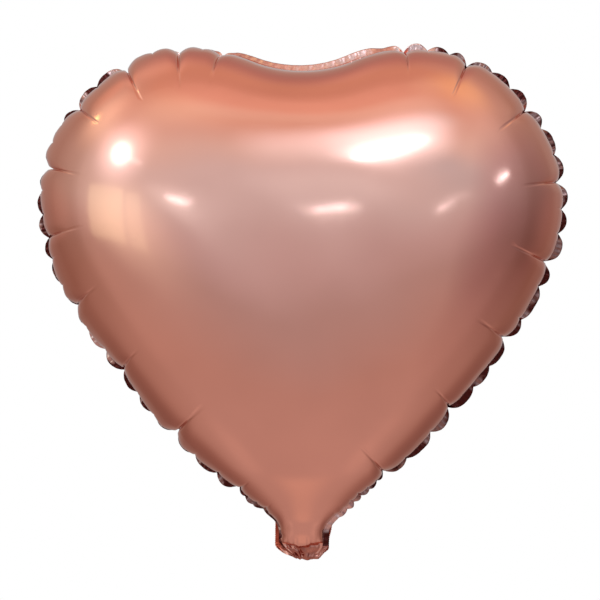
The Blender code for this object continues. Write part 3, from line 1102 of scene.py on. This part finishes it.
def studio_world():
    """White to the camera; to the foil, a room that is cool in front, warm overhead and dim behind."""
    world = bpy.data.worlds.new("studio")
    bpy.context.scene.world = world
    world.use_nodes = True
    tree = world.node_tree
    tree.nodes.clear()
    sight = tree.nodes.new("ShaderNodeTexCoord").outputs["Generated"]
    split = tree.nodes.new("ShaderNodeSeparateXYZ")
    tree.links.new(sight, split.inputs[0])
    room = gradient(tree, remap(tree, split.outputs["Z"], -1, 1, 0, 1), ROOM_BY_HEIGHT)
    behind = gradient(tree, remap(tree, split.outputs["Y"], -1, 1, 0, 1), ROOM_BEHIND)
    share = combine(tree, "MULTIPLY", remap(tree, split.outputs["Z"], 0.55, 0.95, 1.0, 0.25),
                    remap(tree, split.outputs["Z"], -0.80, -0.30, 0.0, 1.0))
    room = blend_colours(tree, share, room, blend_colours(tree, 1.0, room, behind, "MULTIPLY"))
    sideways = gradient(tree, remap(tree, split.outputs["X"], -1, 1, 0, 1), ROOM_SIDEWAYS)
    room = blend_colours(tree, share, room, blend_colours(tree, 1.0, room, sideways, "MULTIPLY"))
    for patch in GLOWS + SHADES:
        room = glow(tree, sight, room, *patch)
    seen = tree.nodes.new("ShaderNodeBackground")
    seen.inputs["Color"].default_value = (1, 1, 1, 1)
    lit = tree.nodes.new("ShaderNodeBackground")
    tree.links.new(room, lit.inputs["Color"])
    path = tree.nodes.new("ShaderNodeLightPath")
    choose = tree.nodes.new("ShaderNodeMixShader")
    out = tree.nodes.new("ShaderNodeOutputWorld")
    tree.links.new(path.outputs["Is Camera Ray"], choose.inputs["Fac"])
    tree.links.new(lit.outputs[0], choose.inputs[1])
    tree.links.new(seen.outputs[0], choose.inputs[2])
    tree.links.new(choose.outputs[0], out.inputs["Surface"])


def floor():
    """A pale floor well below the floating balloon. The foil's reflections come from the room alone."""
    mesh = bpy.data.meshes.new("floor")
    half = FLOOR_SIZE / 2
    corners = [(-half, -half, 0), (half, -half, 0), (half, half, 0), (-half, half, 0)]
    mesh.from_pydata(corners, [], [(0, 1, 2, 3)])
    mesh.materials.append(floor_paint())
    sheet = bpy.data.objects.new("floor", mesh)
    sheet.location.z = FLOOR_Z
    bpy.context.scene.collection.objects.link(sheet)
    sheet.visible_glossy = False
    sheet.visible_diffuse = False


def camera():
    """Level with the balloon's middle, straight in front, far enough to keep its outline true."""
    eye = bpy.data.objects.new("camera", bpy.data.cameras.new("camera"))
    bpy.context.scene.collection.objects.link(eye)
    eye.location = (CAMERA_X, -CAMERA_DISTANCE, CAMERA_Z)
    eye.rotation_euler = (pi / 2, 0, 0)
    eye.data.lens = eye.data.sensor_width * CAMERA_DISTANCE / VIEW_WIDTH
    bpy.context.scene.camera = eye


def dress(piece, finish, slot, *nodes):
    """Gives a piece its finish and hides the CAD nodes it stands for. slot is not used."""
    piece.data.materials.append(finish)
    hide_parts(*nodes)
    return piece


def build():
    """Makes every piece and dresses it, and puts the panels, valve films and sealed edge on their bodies.
    """
    satin, sealed, creased, milky = satin_foil(), sealed_foil(), creased_foil(), milky_film()
    for name, hand, seed in (("front", -1, 1), ("back", 1, 2)):
        piece = panel(f"{name}_panel", hand, seed)
        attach(dress(piece, satin, "rose_gold_foil", f"{name}_foil_panel"), "envelope")
        film = valve_film(f"valve_{name}_film", hand)
        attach(dress(film, milky, "valve_film", f"valve_{name}_film"), f"valve_{name}")
    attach(dress(sealed_edge(), sealed, "heat_sealed_margin", "heat_seal_band"), "envelope")
    half = NECK_HALF_WIDTH * WIDTH
    inner = NECK_INNER + TAIL_OVERLAP
    front = tail_sheet("tail_front_sheet", -inner, inner, 1, FOIL, -LIP_HEIGHT)
    back = tail_sheet("tail_back_sheet", -inner, inner, -1, FOIL, -LIP_HEIGHT)
    bend_at_fold(dress(front, creased, "tail_foil", "tail_front_foil"))
    bend_at_fold(dress(back, creased, "tail_foil", "tail_back_foil"))
    for name, low, high in (("left", -half, TAIL_OVERLAP - inner), ("right", inner - TAIL_OVERLAP, half)):
        strip = tail_sheet(f"tail_margin_{name}", low, high, 0, SEALED, -LIP_HEIGHT * 0.6)
        bend_at_fold(dress(strip, creased, "heat_sealed_margin", f"tail_seal_{name}"))


build()
floor()
studio_world()
for box in SOFTBOXES:
    softbox(*box)
camera()
bpy.context.scene.view_settings.view_transform = "Standard"
